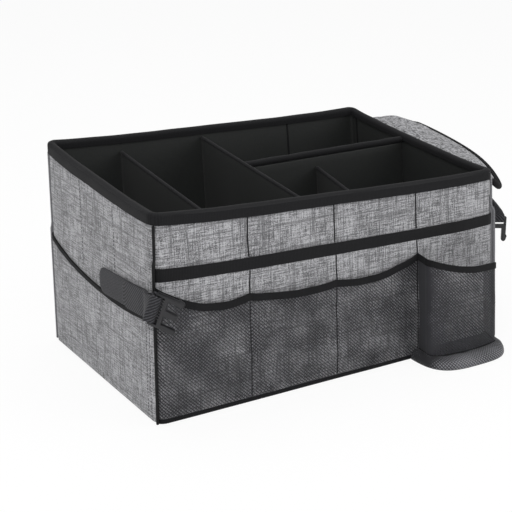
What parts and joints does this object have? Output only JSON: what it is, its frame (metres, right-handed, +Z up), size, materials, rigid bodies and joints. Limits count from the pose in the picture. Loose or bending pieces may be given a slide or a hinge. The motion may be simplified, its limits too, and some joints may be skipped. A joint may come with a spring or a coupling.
{
  "type": "back seat organizer",
  "caption": "Open soft-sided box with inner dividers, mesh and cloth outer pockets, a side flap and two buckle halves on webbing, to hold things on a car's back seat.",
  "frame": {"origin": "middle of the underside, on the ground", "axes": "+X to the box's right, +Y to its back, away from the mesh pockets, +Z up"},
  "size_m": [0.4677, 0.2965, 0.2259],
  "materials": {
    "grey_oxford": "heathered woven oxford cloth",
    "black_oxford": "black oxford cloth",
    "lining": "black lining cloth",
    "tape": "black woven binding tape",
    "mesh": "black polyester net",
    "webbing": "dark grey twill webbing",
    "plastic": "moulded black acetal",
    "board": "grey stiffening board"
  },
  "bodies": {
    "root": {"base_panel": "black_oxford", "base_board": "board", "lining_base": "lining", "front_panel": "grey_oxford", "front_board": "board", "lining_front": "lining", "right_panel": "grey_oxford", "right_board": "board", "lining_right": "lining", "back_panel": "grey_oxford", "back_board": "board", "lining_back": "lining", "left_panel": "grey_oxford", "left_board": "board", "lining_left": "lining", "rim_binding": "tape", "piping_front_right": "tape", "piping_back_right": "tape", "piping_back_left": "tape", "piping_front_left": "tape", "divider_left": "lining", "divider_middle": "lining", "divider_cross": "lining", "divider_cross_roll": "tape", "divider_short": "lining", "front_pocket": "grey_oxford", "front_pocket_binding": "tape", "front_foot_tape": "tape", "left_pocket": "grey_oxford", "left_pocket_binding": "tape", "right_pocket": "grey_oxford", "right_pocket_binding": "tape", "mesh_pockets": "mesh", "mesh_pockets_hem": "tape", "box_pocket_mesh": "mesh", "box_pocket_hem": "tape", "box_pocket_foot": "mesh", "left_strap": "webbing", "right_tab": "webbing"},
    "flap": {"side_flap": "grey_oxford", "side_flap_piping": "tape"},
    "left_buckle": {"left_buckle": "plastic"},
    "right_buckle": {"right_buckle": "plastic"}
  },
  "joints": [
    {"name": "flap_hinge", "type": "hinge", "parent": "root", "child": "flap", "pos_m": [0.1984, -0.001, 0.19084], "axis": [0.0479, -0.9961, -0.0741], "range_deg": [-10, 75]},
    {"name": "left_buckle_swing", "type": "hinge", "parent": "root", "child": "left_buckle", "pos_m": [-0.20549, -0.131, 0.12534], "axis": [-0.2418, 0.2418, -0.9397], "range_deg": [-3, 90]},
    {"name": "right_buckle_swing", "type": "hinge", "parent": "root", "child": "right_buckle", "pos_m": [0.22581, -0.094, 0.12731], "axis": [0.8572, -0.515, 0], "range_deg": [-8, 90]}
  ]
}
